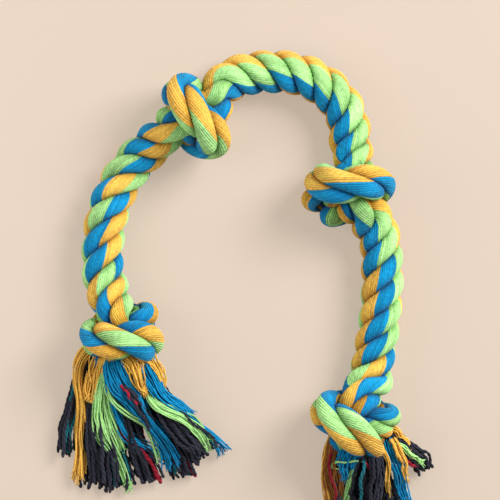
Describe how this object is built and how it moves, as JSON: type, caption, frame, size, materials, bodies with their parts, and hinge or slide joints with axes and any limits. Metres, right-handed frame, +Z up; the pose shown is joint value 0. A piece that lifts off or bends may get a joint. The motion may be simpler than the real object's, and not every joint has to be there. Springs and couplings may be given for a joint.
{
  "type": "rope dog toy",
  "caption": "Knotted cotton rope dog toy lying in an arch: laid strands in blue, green and gold, tied in tight overhand knots, with frayed dark and coloured tassels at both ends.",
  "frame": {"origin": "on the floor, under the middle of the toy's box", "axes": "+Z up from the floor it lies on, +Y from the tassels towards the top of the arch, +X towards the arm whose tassel ends lower"},
  "size_m": [0.267, 0.3578, 0.0641],
  "materials": {
    "blue_cotton": "matte twisted cotton yarn, fuzzy",
    "lime_cotton": "matte twisted cotton yarn, fuzzy",
    "gold_cotton": "matte twisted cotton yarn, fuzzy",
    "teal_cotton": "matte twisted cotton yarn, fuzzy",
    "navy_cotton": "matte twisted cotton yarn, fuzzy"
  },
  "bodies": {
    "root": {"strand_1": "blue_cotton", "strand_2": "lime_cotton", "strand_3": "gold_cotton", "left_gold_outer_lock": "gold_cotton", "left_teal_outer_lock": "teal_cotton", "left_navy_left_lock": "navy_cotton", "left_gold_inner_lock": "gold_cotton", "left_lime_left_lock": "lime_cotton", "left_navy_middle_lock": "navy_cotton", "left_navy_inner_lock": "navy_cotton", "left_blue_middle_lock": "blue_cotton", "left_gold_right_lock": "gold_cotton", "left_navy_right_lock": "navy_cotton", "left_lime_right_lock": "lime_cotton", "left_blue_right_lock": "blue_cotton", "right_gold_outer_lock": "gold_cotton", "right_navy_outer_lock": "navy_cotton", "right_lime_outer_lock": "lime_cotton", "right_blue_outer_lock": "blue_cotton", "right_navy_middle_lock": "navy_cotton", "right_navy_low_lock": "navy_cotton", "right_lime_middle_lock": "lime_cotton", "right_gold_middle_lock": "gold_cotton", "right_blue_right_lock": "blue_cotton", "right_navy_under_lock": "navy_cotton", "right_navy_right_lock": "navy_cotton", "right_lime_right_lock": "lime_cotton"}
  },
  "joints": []
}
